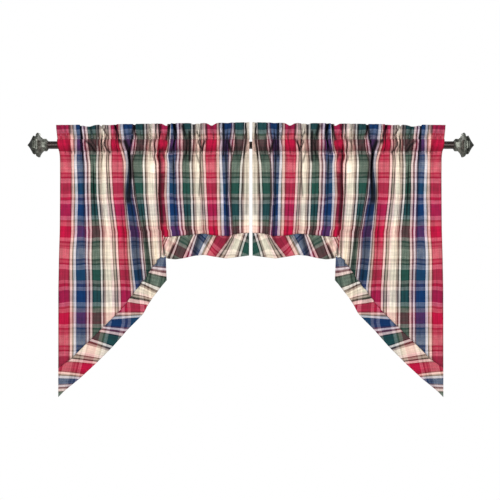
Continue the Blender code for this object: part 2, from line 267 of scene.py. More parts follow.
# Where the body is cut below: place on the flat cloth and drop below the rod
CUT_LINE = [
    # (flat, drop)
    (0, 741), (39, 713), (96, 656), (146, 608), (208, 547), (265, 482), (321, 434), (361, 401),
    (384, 380), (398, 370), (412, 365), (420, 337), (428, 307), (470, 304), (540, 299),
    (600, 294), (650, 301), (705, 302), (745, 295), (800, 292),
]


def header_top(flat):
    height = HEADER_LOW + (HEADER_HIGH - HEADER_LOW) * flat / CLOTH_WIDTH
    for middle, dip, reach in NOTCHES:
        height = height - dip * bell(flat - middle, reach)
    return height


def cut_height(flat):
    flats, drops = zip(*CUT_LINE)
    return -np.interp(flat, flats, drops)


print("cut at", cut_height(0.0), "mm outside and", cut_height(CLOTH_WIDTH), "mm inside")

# %% [markdown]
# ## Small gathers
#
# Where the two seams of the rod sleeve pull the cloth together it also crumples finely, into
# little grooves a few millimetres wide that die out up or down the cloth. They are too many to
# place by hand, so a seeded random list gives each one a place, width, depth, length and slant.
# They are real geometry, so they cast their own shadows, and shade is also painted along them.

# %% Gathers at the seams
GATHERS = 66
GATHER_SEED = 11
GATHER_SPREAD = 0.4
GATHER_RANGES = {
    "width": (2.0, 4.4), "depth": (1.8, 5.0), "fall": (4.0, 24.0), "rise": (25.0, 140.0),
    "slant": (-0.35, 0.35),
}
SLEEVE_SHARE = 0.6


def gather_list():
    """One row for each gather: its middle and what GATHER_RANGES names."""
    chance = np.random.default_rng(GATHER_SEED)
    spread = chance.uniform(-GATHER_SPREAD, GATHER_SPREAD, GATHERS)
    middles = (np.arange(GATHERS) + 0.5 + spread) * CLOTH_WIDTH / GATHERS
    others = [chance.uniform(*limits, GATHERS) for limits in GATHER_RANGES.values()]
    return np.column_stack([middles] + others)


def crumple(flat, height, gathers):
    """How far the small gathers push the cloth back."""
    push = np.zeros(np.broadcast(flat, height).shape)
    below = np.maximum(LOWER_SEAM - height, 0.0)
    above = np.maximum(height - UPPER_SEAM, 0.0)
    within = np.clip((height - LOWER_SEAM) / (UPPER_SEAM - LOWER_SEAM), 0.0, 1.0)
    sleeve = 1.0 - (1.0 - SLEEVE_SHARE) * np.sin(np.pi * within)
    for middle, width, depth, fall, rise, slant in gathers:
        fade = np.exp(-below / fall) * np.exp(-above / rise) * sleeve
        across = flat - middle - slant * (height - LOWER_SEAM)
        push += depth * fade * bell(across, width)
    return push


gathers = gather_list()
print(len(gathers), "small gathers, the deepest", round(gathers[:, 2].max(), 1), "mm")

# %% [markdown]
# ## Creases that stand out
#
# Some creases are large enough to give a panel its own look: pinches that lean across the
# header, a pleat closing like a V below the sleeve, the lip of a fold that keeps the light off
# the stripe beside it. Each is placed in a table, and cloth is drawn back along it.
# Shade is painted along each crease too, and some rows are painted shadow only, with no depth.

# %% Creases
BODY_CREASES = [
    # flat and height of the upper end, flat and height of the lower end, width, depth, painted shade
    (40, 64, 39, 44, 4, 2.5, 0.75),
    (24, 52, 27, 30, 3, 2, 0.4),
    (84, 66, 91, 24, 6.5, 0, 0.9),
    (147, 62, 146, 0, 5, 4, 0.9),
    (172, 58, 194, 33, 5, 4, 0.8),
    (194, 33, 190, 4, 4, 3, 0.6),
    (108, 10, 136, -19, 6, 3.5, 0.9),
    (124, 14, 144, -10, 4, 2.5, 0.7),
    (178, 0, 203, -23, 5, 3, 0.85),
    (163, 10, 176, -20, 4, 2.5, 0.6),
    (228, 68, 250, 10, 8, 5, 1),
    (309, 68, 292, 10, 8.5, 5, 1),
    (268, 10, 278, -24, 10, 5, 1),
    # Painted shadow only, with no depth: inside the wide fold and down the navy stripe
    (293, -34, 291, -106, 29, 0, 0.97),
    (281, -94, 272, -190, 14, 0, 0.88),
    (280, -196, 283, -440, 16, 0, 0.32),
    (349, 62, 349, 2, 4, 3, 0.8),
    (378, 44, 384, 14, 4.5, 2.5, 0.75),
    (366, 32, 361, 2, 4, 2.5, 0.6),
    (392, 20, 398, -14, 4, 2.5, 0.6),
    (388, -22, 391, -44, 4, 2, 0.45),
    (415, 70, 421, 30, 5, 4, 0.95),
    (463, 72, 450, 20, 7.5, 5, 1),
    (440, -14, 452, -40, 5, 2.5, 0.6),
    (484, 75, 503, 38, 6, 4, 0.9),
    (497, 16, 484, -20, 5, 3, 0.7),
    (528, 62, 545, 5, 6.5, 4, 0.95),
    (545, 5, 536, -40, 5, 3, 0.75),
    (553, 42, 558, -48, 5, 4, 1),
    (568, 75, 568, 36, 5, 4, 0.95),
    (580, 42, 596, 18, 4.5, 2.5, 0.75),
    (586, 10, 605, -17, 4.5, 3, 1),
    (621, 10, 607, -17, 4.5, 3, 1),
    (606, -15, 592, -165, 4.5, 3, 0.62),
    (578, -20, 590, -52, 3.5, 2, 0.6),
    (624, 68, 626, 20, 4.5, 3, 0.85),
    (645, 60, 650, 34, 9, 1.5, 0.35),
    (672, 70, 673, 36, 6.5, 3.5, 0.85),
    (686, 68, 689, -32, 5, 4, 0.95),
    (707, 14, 729, -26, 8.5, 3.5, 1),
    (740, 20, 748, -30, 4, 2, 0.5),
    (770, 32, 777, -40, 6, 3, 0.7),
    (784, -22, 779, -165, 4.5, 1.5, 0.42),
    (794, -30, 791, -225, 3.5, 1, 0.36),
    (771, -190, 774, -250, 5, 1, 0.25),
    # Painted shadow only, where a fold's lip keeps the light off the red stripe beside it
    (433, -20, 432, -110, 10, 0, 0.82),
    (438, -98, 434, -255, 15, 0, 0.8),
]
CREASE_FADE = 8.0


def creased(first, height, creases):
    """How far the creases of a table draw the cloth back, and how much shade they paint on it."""
    push = np.zeros(np.broadcast(first, height).shape)
    dark = push.copy()
    for first_up, up, first_down, down, width, depth, most in creases:
        part = np.clip((up - height) / (up - down), 0.0, 1.0)
        beyond = np.maximum(np.maximum(height - up, down - height), 0.0)
        aside = (first - first_up - (first_down - first_up) * part) / width
        strength = bell(aside, 1.0) * bell(beyond, CREASE_FADE)
        push += depth * strength
        dark = np.maximum(dark, most * strength)
    return push, dark


print(len(BODY_CREASES), "creases placed by hand")

# %% [markdown]
# ## Sheets of cloth
#
# Every cloth here is made of rows of points, with a UV map that holds each point's place on
# the flat, uncut cloth in metres. The weave is drawn from that map, so it follows every fold. A
# second record, the fold shade, says how much shade is painted into the colour at each point. A
# Solidify modifier gives the sheet its thickness, and a turned hem is simply more rows or
# columns folded to the back.

# %% Sheet maker
THICKNESS = 0.8
UV_NAME = "cloth"
# The record of how much shade is painted on each point
SHADE_NAME = "fold_shade"


def link(name, data):
    made = bpy.data.objects.new(name, data)
    bpy.context.scene.collection.objects.link(made)
    return made


def faces_between(upper, lower):
    """Faces joining two rows of point numbers that are equally long, or one half as long."""
    if len(upper) == len(lower):
        return list(zip(upper[:-1], lower[:-1], lower[1:], upper[1:]))
    if len(upper) < len(lower):
        return [face[::-1] for face in faces_between(lower, upper)]
    faces = []
    for k in range(len(lower) - 1):
        a, b, c = upper[2 * k : 2 * k + 3]
        faces += [(a, lower[k], b), (b, lower[k], lower[k + 1]), (b, lower[k + 1], c)]
    return faces


def sheet_piece(name, rows, side):
    """A closed sheet from rows of (points, flat places, shade), for one side of the middle."""
    points, places, shades = (np.concatenate(kind) for kind in zip(*rows))
    starts = np.cumsum([0] + [len(row[0]) for row in rows])
    numbers = [list(range(first, last)) for first, last in zip(starts, starts[1:])]
    faces = []
    for upper, lower in zip(numbers, numbers[1:]):
        faces += faces_between(upper, lower)
    if side < 0:
        faces = [face[::-1] for face in faces]
    mesh = bpy.data.meshes.new(name)
    mesh.from_pydata((points * (side * MM, MM, MM)).tolist(), [], faces)
    layer = mesh.uv_layers.new(name=UV_NAME)
    corners = np.concatenate([np.array(face) for face in faces])
    layer.data.foreach_set("uv", (places * MM)[corners].ravel())
    shade = mesh.attributes.new(SHADE_NAME, "FLOAT", "POINT")
    shade.data.foreach_set("value", shades)
    mesh.shade_smooth()
    piece = link(name, mesh)
    thicken = piece.modifiers.new("cloth thickness", "SOLIDIFY")
    thicken.thickness = THICKNESS * MM
    thicken.offset = 0.0
    thicken.material_offset = 1
    print(name, len(faces), "faces before thickness")
    return piece


print("each cloth is", THICKNESS, "mm thick")

# %% [markdown]
# ## The body of each panel
#
# On the real panel one cloth runs up the front, over the top of the header and down the back,
# and two rows of stitching through both layers leave the sleeve that the rod goes through. The
# rows made here follow the same path. Their columns crowd together where the folds are tight,
# and both side edges are turned to the back in a narrow hem.

# %% Columns across a panel
COLUMNS = 593
TIGHT_WEIGHT = 2.4
TIGHTEST = 0.35
TIGHT_SPREAD = 9
EDGE_ROUND = 0.4
SIDE_HEM = 11.0
SIDE_HEM_BEHIND = (0.6, 1.2, 1.6, 1.6)


def body_columns():
    bend = np.abs(np.gradient(SLOPE, FLAT_STEP, axis=1)).max(axis=0)
    tight = np.minimum(bend, TIGHTEST) / TIGHTEST
    weight = 1.0 + TIGHT_WEIGHT * np.convolve(tight, np.ones(TIGHT_SPREAD) / TIGHT_SPREAD, "same")
    total = running(0.5 * (weight[1:] + weight[:-1]))
    flats = np.interp(np.linspace(0.0, total[-1], COLUMNS), total, FLAT)
    return np.clip(flats, EDGE_ROUND, CLOTH_WIDTH - EDGE_ROUND)


def side_hemmed(flats):
    """Adds the turned side hems: place to hang at, place in the cloth and distance behind."""
    turned = np.array(SIDE_HEM_BEHIND)
    hem = np.concatenate([[0.0], np.linspace(EDGE_ROUND, SIDE_HEM, len(turned) - 1)])
    place = np.concatenate([hem[::-1], flats, CLOTH_WIDTH - hem])
    cloth = np.concatenate([-hem[::-1], flats, CLOTH_WIDTH + hem])
    back = np.concatenate([turned[::-1], np.zeros(len(flats)), turned])
    return place, cloth, back


flat, cloth, behind = side_hemmed(body_columns())
top = header_top(flat)
print(len(flat), "columns, side hems included")

# %% [markdown]
# ### One row of the body
#
# A row starts as the hung cloth and is drawn back into its gathers and creases. No real cloth
# is quite even, so sums of a few slow waves, with seeded random lengths, then move the cloth
# and the line that its cross threads follow. The row also notes how much shade is painted on
# each point.

# %% One row
# Slow waves as (seed, how many, lengths across, lengths down)
RUFFLE = (5, 9, (28, 120), (180, 700))
RUFFLE_DEPTH = 0.32
WAVER = (8, 7, (24, 160), (120, 500))
WAVER_DEPTH = 0.55
LAST_START = 6.28
SEAM_WOBBLE = 0.7
SEAM_WOBBLE_REACH = 34.0
SLEEVE_LIMIT = 3.0
# Painted fold shade: where it starts and ends in a fold's depth, its curve, the fold depth that gets
# all of it, and how it weakens down the skirt
DARK_FROM = 0.3
DARK_TO = 0.92
DARK_CURVE = 0.8
FULL_DARK_DEPTH = 13.0
LOW_DARK = 0.3
DARK_FALL = 190.0
# Painted shade along the small gathers, by how far they push the cloth back, and its most
GATHER_DARK = 0.1
GATHER_DARKEST = 0.3
fold_middles = [fold["middle"] for fold in folds]
fold_darks = [FOLD_DARKNESS.get(middle, 1.0) for middle in fold_middles]


def uneven(flat, height, seed, waves, lengths, rises):
    """A sum of slow waves of random length, slant and start."""
    chance = np.random.default_rng(seed)
    total = np.zeros(np.broadcast(flat, height).shape)
    for _ in range(waves):
        length = chance.uniform(*lengths)
        rise = chance.uniform(*rises)
        start = chance.uniform(0, LAST_START)
        total += np.sin(2 * np.pi * (flat / length + height / rise) + start)
    return total


def row_shade(height, push, dark):
    """How much shade is painted on each point of a row by the folds, gathers and creases: 0 none, 1
    black.
    """
    whole = np.maximum(read(ENVELOPE, flat, height), 0.1)
    sunk = (read(DEPTH, flat, height) / whole - DARK_FROM) / (DARK_TO - DARK_FROM)
    shade = np.clip(sunk, 0.0, 1.0) * np.clip(whole / FULL_DARK_DEPTH, 0.0, 1.0) ** DARK_CURVE
    below = np.maximum(LOWER_SEAM - height, 0.0)
    kept = LOW_DARK + (1.0 - LOW_DARK) * bell(below, DARK_FALL)
    shade *= np.interp(flat, fold_middles, fold_darks) * kept
    shade = np.maximum(shade + np.minimum(GATHER_DARK * push, GATHER_DARKEST), dark)
    return np.clip(shade, 0.0, 1.0)


def body_row(height, layer, every=1, forward=0.0, gather=0.5, down=None):
    """One row across the panel at these heights, `layer` behind its middle and moved forward."""
    height = height + 0.0 * flat
    if down is None:
        down = np.where(layer < 0, height, 2.0 * top - height)
    points, back = hang(flat, height, gather)
    push = crumple(flat, height, gathers)
    drawn, dark = creased(flat, height, BODY_CREASES)
    on_rod = (height > LOWER_SEAM) & (height < UPPER_SEAM)
    away = np.where(on_rod, np.minimum(push + drawn, SLEEVE_LIMIT), push + drawn)
    away += RUFFLE_DEPTH * uneven(flat, height, *RUFFLE) + behind + layer
    points = points + back * away[:, None] - (0.0, forward, 0.0)
    near_seam = np.exp(-np.abs(height - LOWER_SEAM) / SEAM_WOBBLE_REACH)
    points[:, 2] += SEAM_WOBBLE * uneven(flat, 0.0, *WAVER) * near_seam
    place = np.stack([cloth, down + WAVER_DEPTH * uneven(flat, height, *WAVER)], axis=-1)
    shade = row_shade(height, push, dark) * (layer < 0)
    return points[::every], place[::every], shade[::every]


print("one row has", len(body_row(0.0, -1.0)[0]), "points")

# %% [markdown]
# ### Rows from the cut edge up, over the top and down again
#
# The skirt's rows crowd together near the seam, where the gathers are. The sleeve is round over
# the rod and hangs almost straight below it. The back ends in a short tail below the seam.

# %% Body cloth
LAYER_GAP = 0.62
NEAR_SEAM = -80.0
NEAR_SEAM_ROWS = 14
SEAM_CROWDING = 1.3
SKIRT_ROWS = 44
EDGE_PRESS = 0.5
EDGE_PRESS_REACH = 9.0
SLEEVE_REACH = 16.4
SLEEVE_ROWS = 11
ROUND_CURVE = 0.8
HANGING_CURVE = 1.7
HEADER_ROWS = 12
HEADER_PUFF = 1.2
TOP_ROWS = 3
BACK_ROWS = 8
TAIL = 9.0
TAIL_ROWS = 3
TAIL_BEHIND = 0.9


def skirt_rows():
    for part in np.linspace(1.0, 0.0, SKIRT_ROWS, endpoint=False):
        height = NEAR_SEAM + (cut_height(flat) - NEAR_SEAM) * part
        press = EDGE_PRESS * bell(height - cut_height(flat), EDGE_PRESS_REACH)
        yield body_row(height, -LAYER_GAP - press, 2)
    for part in np.linspace(1.0, 0.0, NEAR_SEAM_ROWS, endpoint=False):
        yield body_row(LOWER_SEAM + (NEAR_SEAM - LOWER_SEAM) * part**SEAM_CROWDING, -LAYER_GAP)


def sleeve_rows(count, layer_sign, every):
    """Rows of half the sleeve, front (-1) or back (1), from the lower seam up."""
    middle = 0.5 * (UPPER_SEAM + LOWER_SEAM)
    half = 0.5 * (UPPER_SEAM - LOWER_SEAM)
    for angle in np.linspace(-0.5 * np.pi, 0.5 * np.pi, count + 2)[:-1]:
        height = middle + half * math.sin(angle)
        if angle < 0.0:
            bulge = 1.0 - ((middle - height) / half) ** HANGING_CURVE
        else:
            bulge = max(math.cos(angle), 0.0) ** ROUND_CURVE
        forward = -layer_sign * SLEEVE_REACH * bulge
        gather = 0.5 - 0.5 * layer_sign * bulge
        yield body_row(height, layer_sign * LAYER_GAP, every, forward, gather)


def header_rows(count, layer_sign, every):
    """Rows of one layer of the header, from the upper seam to just below the top."""
    for part in np.linspace(0.0, 1.0, count):
        height = UPPER_SEAM + (top - HEADER_PUFF - UPPER_SEAM) * part
        puff = LAYER_GAP + (HEADER_PUFF - LAYER_GAP) * math.sin(0.5 * math.pi * part)
        yield body_row(height, layer_sign * puff, every)


def top_rows():
    for angle in np.linspace(0.0, np.pi, TOP_ROWS + 2)[1:-1]:
        height = top - HEADER_PUFF + HEADER_PUFF * math.sin(angle)
        yield body_row(height, -HEADER_PUFF * math.cos(angle), down=top + HEADER_PUFF * angle)


def tail_rows():
    for part in np.linspace(0.0, 1.0, TAIL_ROWS + 1)[1:]:
        height = LOWER_SEAM - TAIL * part
        yield body_row(height, LAYER_GAP + TAIL_BEHIND * part, 2)


rows = [*skirt_rows(), *sleeve_rows(SLEEVE_ROWS, -1, 1), *header_rows(HEADER_ROWS, -1, 1)]
rows += [*top_rows()] + [*header_rows(BACK_ROWS, 1, 2)][::-1]
rows += [*sleeve_rows(BACK_ROWS, 1, 2)][::-1] + [*tail_rows()]
bodies = {hand: sheet_piece(hand + "_swag_cloth", rows, side) for hand, side in SIDES.items()}

# %% [markdown]
# ## The borders
#
# The slanted and the level border are separate strips of the same plaid, cut across the bias,
# so their stripes lean. Each stripe that crosses a strip is one row of a table: its place in
# the warp, where it leaves the seam and where it meets the hem. The weft runs nearly evenly
# along a strip, so a start, two rates and a few small shifts place it.

# %% Stripes of the borders
SLANT_STRIPES = [
    # (warp, drop at the seam, drop at the hem)
    (38, 361, 366), (45, 367.5, 372), (58, 370.4, 375.4), (94, 404.7, 411.6), (112, 423.9, 439.2),
    (142.5, 452.9, 474.5), (153, 462.8, 490.1), (197, 501.7, 515), (208, 520.7, 532.3),
    (246, 556.6, 556.6), (266, 578.9, 571.9), (302, 603.5, 611.1), (320, 620.4, 634.4),
    (350.5, 643.4, 668), (361, 655.7, 679), (405, 704.9, 715.9), (416, 718.9, 726.5),
    (454, 751.1, 761.8), (474, 772.7, 777.1), (510, 797.3, 795.7), (528, 820.3, 817.6),
]
LEVEL_STRIPES = [
    # (warp, across at the seam, across at the hem)
    (-96, -23.9, -0.7), (-65.5, 10.6, 33.3), (-60, 17.3, 39.9), (-55, 21.6, 45.2),
    (-11, 58.2, 99.8), (-7, 60.5, 107.4), (0, 65.8, 117.0), (38, 115.7, 147.3),
    (58, 140.6, 175.6), (94, 177.9, 199.5), (112, 189.5, 224.8), (142.5, 234.1, 260.0),
    (148, 238.7, 267.7), (153, 242.1, 273.6), (187, 273.7, 305.3),
]
WEFT_TOP = -269.0
# (weft at one point, its change per mm across, per mm down, that point's across, its drop)
SLANT_WEFT = (254.0, 1.128, -0.282, 464.8, 598.2)
LEVEL_WEFT = (134.0, -0.5, -0.95, 112.4, 318.9)
# Shifts of the weft as (drop, shift) on the slant and (across, shift) on the level border
SLANT_WEFT_SHIFT = [(440, -40), (490, -36), (540, -16), (590, 0)]
LEVEL_WEFT_SHIFT = [(0, 0), (56, 8), (75, 20), (96, 30), (120, 24), (150, 6), (215, -19), (300, -19)]


def stripe_place(stripes, along, part):
    """Warp place of points that lie `part` of the way from a strip's seam to its hem."""
    warp, at_seam, at_hem = np.array(stripes, float).T
    place = np.empty_like(along)
    for index in np.ndindex(along.shape):
        crossing = at_seam + (at_hem - at_seam) * part[index]
        k = min(max(np.searchsorted(crossing, along[index]), 1), len(warp) - 1)
        rate = (warp[k] - warp[k - 1]) / (crossing[k] - crossing[k - 1])
        place[index] = warp[k - 1] + (along[index] - crossing[k - 1]) * rate
    return place


def weft_place(weft, shifts, across, drop, along):
    """Weft place of these points of a strip."""
    start, per_across, per_drop, first_across, first_drop = weft
    even = start + per_across * (across - first_across) + per_drop * (drop - first_drop)
    return WEFT_TOP - even - np.interp(along, *zip(*shifts))


print(len(SLANT_STRIPES), "stripes cross the slant and", len(LEVEL_STRIPES), "the level border")

# %% [markdown]
# ### A strip from seam to hem
#
# A strip is sewn to the body's cut edge, with its raw edge pressed up behind, and is hemmed
# below. Each of its columns starts on the hung edge of the body and ends on the hem line. The
# hem hangs more evenly than the seam above it, so both lines are smoothed.

# %% Border strips
SLANT_HEM = [
    # (across, drop)
    (639.5, 836), (621, 817), (568, 774), (515, 725), (461, 671), (408, 611), (382, 585),
    (357, 559), (345, 534), (328, 508), (312, 488), (299, 472), (290, 460), (279, 448),
]
LEVEL_HEM = [
    # (across, drop, forward)
    (297, 371, -5), (272, 377, -5), (250, 379, -9), (222, 375, -6), (188, 367, 5), (155, 364, 7),
    (122, 370, -3), (82, 376, -9), (50, 372, -2), (5.8, 366, 5),
]
BORDER_ROWS = 26
BORDER_COLUMN_STEP = 2.6
SEAM_DROP = 0.4
OVERHANG_REACH = 12.0
CORNER_LIFT = 3.0
STRIP_CURVE = 0.8
WALLWARD = np.array([0.0, 1.0, 0.0])
SEAM_LEAN = 0.4
SEAM_STEP = 0.5
SEAM_STEP_FADE = 14.0
# Rows past the two edges of a strip: (distance past the edge, distance behind the face)
RAW_EDGE = [(-7.0, 1.35), (-3.85, 1.35), (-0.84, 1.35)]
TURNED_HEM = [(0.75, 0.35), (0.8, 0.9), (0.2, 1.4), (-2.5, 1.5), (-9.0, 1.5)]
SEAM_SMOOTHING = 24
HEM_SMOOTHING = 5
SLANT_SWAY = 4.0
SLANT_WAVE = 150.0


def border_grid(first, last, hem_points, overhang):
    """Points of a strip as it hangs, the same on a flat strip, and the part of the way down.

    Towards the corner where the two strips meet, each one reaches on by its `overhang`.
    """
    flats = np.linspace(first, last, int((last - first) / BORDER_COLUMN_STEP) + 1)
    seam, back = hang(flats, cut_height(flats) - SEAM_DROP)
    corner = flats[-1] if overhang < 0.0 else flats[0]
    near = np.clip(1.0 - np.abs(flats - corner) / OVERHANG_REACH, 0.0, 1.0)
    seam = seam + near[:, None] * (overhang, -CORNER_LIFT * (overhang > 0.0), 0.0)
    hem = hem_points(flats, seam)
    length = np.linalg.norm(hem - seam, axis=-1)
    down = (hem - seam) / length[:, None]
    steps = [(0.0, out, behind) for out, behind in RAW_EDGE]
    for part in np.linspace(0.0, 1.0, BORDER_ROWS):
        steps.append((part, 0.0, SEAM_STEP * math.exp(-part * SEAM_STEP_FADE)))
    steps += [(1.0, out, behind) for out, behind in TURNED_HEM]
    points, flat_points, parts = [], [], []
    for part, out, behind in steps:
        ease = part**STRIP_CURVE
        lean = back * (1.0 - ease) + WALLWARD * (SEAM_LEAN + (1.0 - SEAM_LEAN) * ease)
        lean /= np.linalg.norm(lean, axis=-1)[:, None]
        points.append(seam + (hem - seam) * (part, ease, part) + lean * behind + down * out)
        flat_points.append(seam + (hem - seam) * part + down * out)
        parts.append(part + out / length)
    return np.stack(points), np.stack(flat_points), np.stack(parts)


def smoothed(values, times):
    """Evens out a run of values between its two ends."""
    for _ in range(times):
        inner = 0.5 * values[1:-1] + 0.25 * (values[:-2] + values[2:])
        values = np.concatenate([values[:1], inner, values[-1:]])
    return values


def along_hem(seam, table, times):
    """Places along a hem, spaced as on the seam above, with the table's other columns."""
    across, *others = zip(*table)
    reach = smoothed(seam[:, 0], SEAM_SMOOTHING)
    part = (reach[0] - reach) / (reach[0] - reach[-1])
    over = across[0] + (across[-1] - across[0]) * part
    return over, [smoothed(np.interp(over, across[::-1], other[::-1]), times) for other in others]


def slant_hem(flats, seam):
    over, (drop,) = along_hem(seam, SLANT_HEM, HEM_SMOOTHING)
    wave = SLANT_SWAY * np.sin(2.0 * np.pi * flats / SLANT_WAVE)
    return np.stack([over, smoothed(seam[:, 1], SEAM_SMOOTHING) + wave, -drop], axis=-1)


def level_hem(flats, seam):
    over, (drop, ahead) = along_hem(seam, LEVEL_HEM, HEM_SMOOTHING)
    return np.stack([over, ahead, -drop], axis=-1)


print("each strip has", len(RAW_EDGE) + BORDER_ROWS + len(TURNED_HEM), "rows")

# %% Borders
SLANT_OVERHANG = 10.0
LEVEL_OVERHANG = 5.0
LEVEL_CREASES = [
    # (across, height) of the upper end, (across, height) of the lower end, width, depth, painted
    # shade
    (291, -338, 285, -370, 5, 3, 0.85),
    (258, -338, 273, -372, 5, 4, 0.85),
    # Painted shadow only, along the bottom of the strip near the corner
    (258, -377, 232, -379, 6, 0, 0.8),
    (172, -300, 189, -368, 7, 3, 0.6),
    (136, -300, 152, -322, 7, 2, 0.6),
    (262, -312, 268, -330, 5, 1.5, 0.35),
    # Painted shade only, over the red block
    (88, -302, 108, -366, 20, 0, 0.22),
    (76, -300, 84, -322, 9, 0, 0.35),
]


def border_rows(grid, stripes, weft, shifts, slanting, creases):
    """Rows of a strip, from its hem up to its raw edge."""
    points, flat_points, part = grid
    across, drop = flat_points[..., 0], -flat_points[..., 2]
    along = drop if slanting else across
    warp = stripe_place(stripes, along, part)
    place = np.stack([warp, weft_place(weft, shifts, across, drop, along)], axis=-1)
    drawn, dark = creased(across, -drop, creases)
    points[..., 1] += drawn
    return list(zip(points, place, dark))[::-1]


grid = border_grid(0.0, SLANT_END, slant_hem, -SLANT_OVERHANG)
slant_rows = border_rows(grid, SLANT_STRIPES, SLANT_WEFT, SLANT_WEFT_SHIFT, True, [])
grid = border_grid(LEVEL_START, CLOTH_WIDTH, level_hem, LEVEL_OVERHANG)
level_rows = border_rows(grid, LEVEL_STRIPES, LEVEL_WEFT, LEVEL_WEFT_SHIFT, False, LEVEL_CREASES)
slants, levels = {}, {}
for hand, side in SIDES.items():
    slants[hand] = sheet_piece(hand + "_slant_cloth", slant_rows, side)
    levels[hand] = sheet_piece(hand + "_level_cloth", level_rows, side)

# %% [markdown]
# ## Shader sums
#
# A material's maths reads best as plain sums. The class below wraps one socket of a node, and
# each operator adds the Math node that does it, so `1 - mask * 0.5` builds two nodes.

# %% Shader helper
class Field:
    """A number that varies over a surface."""

    def __init__(self, finish, socket):
        self.finish = finish
        self.socket = socket

    def sum(self, operation, first, second=0.0):
        return self.finish.node("ShaderNodeMath", {"operation": operation}, {0: first, 1: second})

    def __rsub__(self, other):
        return self.sum("SUBTRACT", other, self)


def method(operation):
    """A method of Field that adds the Math node for this operation."""
    return lambda field, other=0.0: field.sum(operation, field, other)


METHODS = {
    "__add__": "ADD", "__radd__": "ADD", "__sub__": "SUBTRACT", "__mul__": "MULTIPLY",
    "__truediv__": "DIVIDE", "wrapped": "FRACT", "sine": "SINE", "size": "ABSOLUTE",
}
for name, operation in METHODS.items():
    setattr(Field, name, method(operation))


class Finish:
    """A new material, with the tools its nodes are made with."""

    def __init__(self, name):
        self.material = bpy.data.materials.new(name)
        self.material.use_nodes = True
        self.tree = self.material.node_tree
        self.surface = self.tree.nodes["Principled BSDF"]

    def node(self, kind, settings=None, values=None, out=0):
        """Adds a node: its settings first, then the values or links of its sockets."""
        made = self.tree.nodes.new(kind)
        for key, value in (settings or {}).items():
            setattr(made, key, value)
        for key, value in (values or {}).items():
            self.feed(made.inputs[key], value)
        return Field(self, made.outputs[out])

    def feed(self, socket, value):
        """Links a field to a socket, or types a number or a colour into it."""
        if isinstance(value, Field):
            self.tree.links.new(value.socket, socket)
        elif hasattr(socket.default_value, "__len__") and len(socket.default_value) == 4:
            socket.default_value = (*value, 1.0)
        else:
            socket.default_value = value

    def ramp(self, where, stops, blend="LINEAR"):
        """Colours read off a ramp, whose stops are (position, colour)."""
        made = self.node("ShaderNodeValToRGB", None, {0: where})
        ramp = made.socket.node.color_ramp
        ramp.interpolation = blend
        while len(ramp.elements) < len(stops):
            ramp.elements.new(1.0)
        for element, (position, colour) in zip(ramp.elements, stops):
            element.position = position
            element.color = (*colour, 1.0)
        return made

    def mix(self, first, second, share, blend="MIX"):
        """Mixes two colours."""
        settings = {"data_type": "RGBA", "blend_type": blend}
        return self.node("ShaderNodeMix", settings, {"Factor": share, 6: first, 7: second}, out=2)

    def place(self, x, y, z=0.0):
        return self.node("ShaderNodeCombineXYZ", None, {0: x, 1: y, 2: z})

    def spot(self):
        """Where a point is on the object, in metres."""
        return self.node("ShaderNodeTexCoord", out=3)

    def noise(self, where, scale=1.0, detail=2.0, roughness=0.5):
        values = {"Vector": where, "Scale": scale, "Detail": detail, "Roughness": roughness}
        return self.node("ShaderNodeTexNoise", None, values)

    def bump(self, height, strength):
        values = {"Strength": strength, "Distance": 1.0, "Height": height}
        return self.node("ShaderNodeBump", None, values)

    def set(self, **values):
        """Sets or links the surface's own sockets, named in lower case with underscores."""
        names = {socket.name.lower().replace(" ", "_"): socket for socket in self.surface.inputs}
        for name, value in values.items():
            self.feed(names[name], value)


print("shader helper ready")

# %% [markdown]
# ## The plaid
#
# A plaid is one list of coloured yarns for the warp, which runs up and down, and one for the
# weft, which runs across. Where the two cross, the eye sees a mix, and here the warp shows more
# than the weft. A colour ramp with hard steps repeats each list across the cloth. The yarn
# colours are written as the eye sees them. Crossing yarns blend part way between how the eye
# sees and how light adds up, so they are mixed on such a scale and then turned into light.

# %% Yarns and stripes
EYE_TO_MIX = 1.5
YARNS = {
    "red": (0.695, 0.07, 0.23),
    "brick": (0.55, 0.10, 0.17),
    "navy": (0.035, 0.19, 0.36),
    "plum": (0.22, 0.15, 0.26),
    "green": (0.115, 0.265, 0.23),
    "pine": (0.075, 0.16, 0.13),
    "cream": (0.94, 0.885, 0.795),
    "shell": (0.95, 0.84, 0.79),
    "oat": (0.69, 0.61, 0.55),
    "peach": (0.88, 0.70, 0.66),
    "olive": (0.47, 0.40, 0.34),
    "pearl": (0.78, 0.77, 0.81),
    "lilac": (0.80, 0.73, 0.77),
    "wine": (0.34, 0.17, 0.22),
    "blush": (0.80, 0.70, 0.69),
    "white": (0.82, 0.80, 0.77),
    "bark": (0.27, 0.21, 0.18),
    "taupe": (0.45, 0.35, 0.31),
    "rose": (0.93, 0.74, 0.72),
    "sage": (0.15, 0.33, 0.30),
}
WARP = [
    # (yarn, millimetres), from the outer edge inwards
    ("brick", 3), ("red", 30), ("brick", 5), ("peach", 7), ("olive", 5), ("pearl", 8),
    ("navy", 31), ("plum", 5), ("lilac", 5.5), ("wine", 6), ("blush", 6.5), ("pine", 3.5),
    ("green", 23.5), ("pine", 3.5), ("white", 5.5), ("bark", 5), ("oat", 6), ("cream", 20),
    ("shell", 8), ("taupe", 4), ("oat", 6), ("bark", 4), ("rose", 7),
]
WEFT = [
    # (yarn, millimetres), from a red stripe downwards
    ("red", 37.5), ("rose", 12), ("bark", 3.5), ("taupe", 3.5), ("oat", 8), ("taupe", 4),
    ("oat", 6.5), ("cream", 33), ("taupe", 7), ("oat", 7.5), ("bark", 6), ("white", 15.5),
    ("sage", 36.5), ("blush", 11.5), ("wine", 9.5), ("lilac", 13), ("navy", 38.5),
    ("pearl", 13.5), ("olive", 7), ("peach", 14),
]


